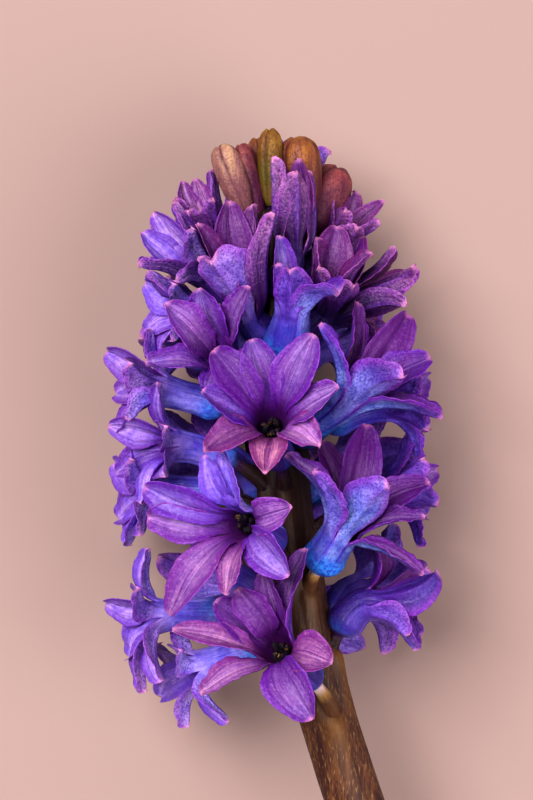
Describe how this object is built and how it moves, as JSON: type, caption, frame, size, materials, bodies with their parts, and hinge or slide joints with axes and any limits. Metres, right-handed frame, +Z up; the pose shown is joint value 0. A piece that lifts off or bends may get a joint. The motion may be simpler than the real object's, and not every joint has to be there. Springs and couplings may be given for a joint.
{
  "type": "hyacinth flower",
  "caption": "Cut hyacinth flower spike lying on its side: violet-blue florets with recurved lobes round a fleshy scape, closed buds at its tip.",
  "frame": {"origin": "centre of the footprint, on the surface that the flower lies on", "axes": "+Z up from that surface, +Y along the spike from the cut end of the scape towards the buds, +X to the right when the florets that show best face the viewer"},
  "size_m": [0.0745, 0.192, 0.0555],
  "materials": {
    "scape": "fleshy, finely streaked",
    "tepals": "waxy petal",
    "anthers": "dusty",
    "buds_ochre": "waxy petal",
    "buds_pink": "waxy petal",
    "buds_red": "waxy petal"
  },
  "bodies": {
    "root": {"bud_cream": "buds_pink", "bud_ochre": "buds_ochre", "bud_red": "buds_red", "bud_russet": "buds_pink", "bud_tip": "buds_ochre", "bud_tip_left": "buds_ochre", "bud_under": "buds_ochre", "floret_bell": "tepals", "floret_crown_left": "tepals", "floret_crown_right": "tepals", "floret_front_centre": "tepals", "floret_front_left": "tepals", "floret_front_low": "tepals", "floret_front_right": "tepals", "floret_left_base": "tepals", "floret_left_crown": "tepals", "floret_left_inner": "tepals", "floret_left_low": "tepals", "floret_left_mid": "tepals", "floret_left_shoulder": "tepals", "floret_left_side": "tepals", "floret_left_top": "tepals", "floret_left_upper": "tepals", "floret_right_crown": "tepals", "floret_right_low": "tepals", "floret_right_mid": "tepals", "floret_right_side": "tepals", "floret_right_top": "tepals", "floret_right_upper": "tepals", "floret_top_bell": "tepals", "floret_under_crown": "tepals", "floret_under_crown_left": "tepals", "floret_under_crown_right": "tepals", "floret_under_high": "tepals", "floret_under_low": "tepals", "floret_under_low_left": "tepals", "floret_under_low_right": "tepals", "floret_under_mid": "tepals", "floret_under_mid_left": "tepals", "floret_under_mid_right": "tepals", "floret_under_top": "tepals", "scape": "scape", "stamens_crown_left": "anthers", "stamens_front_centre": "anthers", "stamens_front_left": "anthers", "stamens_front_low": "anthers", "stamens_left_low": "anthers", "stamens_left_mid": "anthers", "stamens_left_side": "anthers", "stamens_left_upper": "anthers", "stamens_right_low": "anthers", "stamens_right_mid": "anthers", "stamens_right_side": "anthers", "stamens_right_upper": "anthers"}
  },
  "joints": []
}
